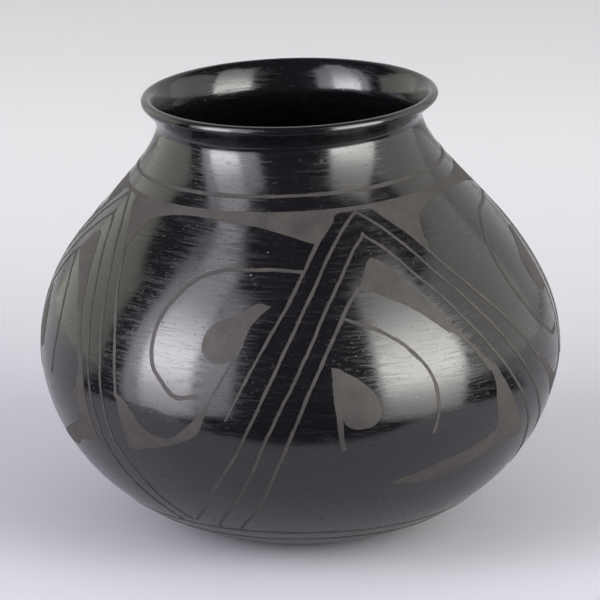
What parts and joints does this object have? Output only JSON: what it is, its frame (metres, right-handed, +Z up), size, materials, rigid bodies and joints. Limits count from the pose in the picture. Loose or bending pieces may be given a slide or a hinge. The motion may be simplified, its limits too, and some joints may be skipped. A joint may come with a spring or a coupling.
{
  "type": "burnished clay olla",
  "caption": "Round-bellied burnished black clay pot with short neck, rolled lip and matte painted slip; rests on a small flat base and holds dry goods or flowers.",
  "frame": {"origin": "centre of the flat resting face under the base", "axes": "+Z up out of the mouth, -Y towards the front of the painted design, +X to the viewer's right"},
  "size_m": [0.2311, 0.2314, 0.1977],
  "materials": {
    "burnished_black_clay": "stone-burnished, reduction-fired black, near-mirror gloss",
    "matte_black_slip": "brushed clay slip, unburnished, matte grey-brown"
  },
  "bodies": {
    "root": {"base_tortilla": "burnished_black_clay", "belly_coil_lower": "burnished_black_clay", "belly_coil_upper": "burnished_black_clay", "neck_coil": "burnished_black_clay", "rolled_lip": "burnished_black_clay", "shoulder_coil": "burnished_black_clay", "slip_chevron_arc_back": "matte_black_slip", "slip_chevron_arc_front": "matte_black_slip", "slip_chevron_arc_left": "matte_black_slip", "slip_chevron_arc_right": "matte_black_slip", "slip_chevron_drop_back": "matte_black_slip", "slip_chevron_drop_front": "matte_black_slip", "slip_chevron_drop_left": "matte_black_slip", "slip_chevron_drop_right": "matte_black_slip", "slip_chevron_fin_back": "matte_black_slip", "slip_chevron_fin_front": "matte_black_slip", "slip_chevron_fin_left": "matte_black_slip", "slip_chevron_fin_right": "matte_black_slip", "slip_chevron_inner_back": "matte_black_slip", "slip_chevron_inner_front": "matte_black_slip", "slip_chevron_inner_left": "matte_black_slip", "slip_chevron_inner_right": "matte_black_slip", "slip_chevron_outer_back": "matte_black_slip", "slip_chevron_outer_front": "matte_black_slip", "slip_chevron_outer_left": "matte_black_slip", "slip_chevron_outer_right": "matte_black_slip", "slip_edge_line_left_back": "matte_black_slip", "slip_edge_line_left_front": "matte_black_slip", "slip_edge_line_left_left": "matte_black_slip", "slip_edge_line_left_right": "matte_black_slip", "slip_edge_line_right_back": "matte_black_slip", "slip_edge_line_right_front": "matte_black_slip", "slip_edge_line_right_left": "matte_black_slip", "slip_edge_line_right_right": "matte_black_slip", "slip_foot_ring_lower": "matte_black_slip", "slip_foot_ring_upper": "matte_black_slip", "slip_neck_ring": "matte_black_slip", "slip_panel_drop_back": "matte_black_slip", "slip_panel_drop_front": "matte_black_slip", "slip_panel_drop_left": "matte_black_slip", "slip_panel_drop_right": "matte_black_slip", "slip_panel_fin_back": "matte_black_slip", "slip_panel_fin_front": "matte_black_slip", "slip_panel_fin_left": "matte_black_slip", "slip_panel_fin_right": "matte_black_slip", "slip_panel_hook_back": "matte_black_slip", "slip_panel_hook_front": "matte_black_slip", "slip_panel_hook_left": "matte_black_slip", "slip_panel_hook_right": "matte_black_slip", "slip_shoulder_band": "matte_black_slip", "slip_wedge_back": "matte_black_slip", "slip_wedge_front": "matte_black_slip", "slip_wedge_left": "matte_black_slip", "slip_wedge_line_back": "matte_black_slip", "slip_wedge_line_front": "matte_black_slip", "slip_wedge_line_left": "matte_black_slip", "slip_wedge_line_right": "matte_black_slip", "slip_wedge_right": "matte_black_slip"}
  },
  "joints": []
}
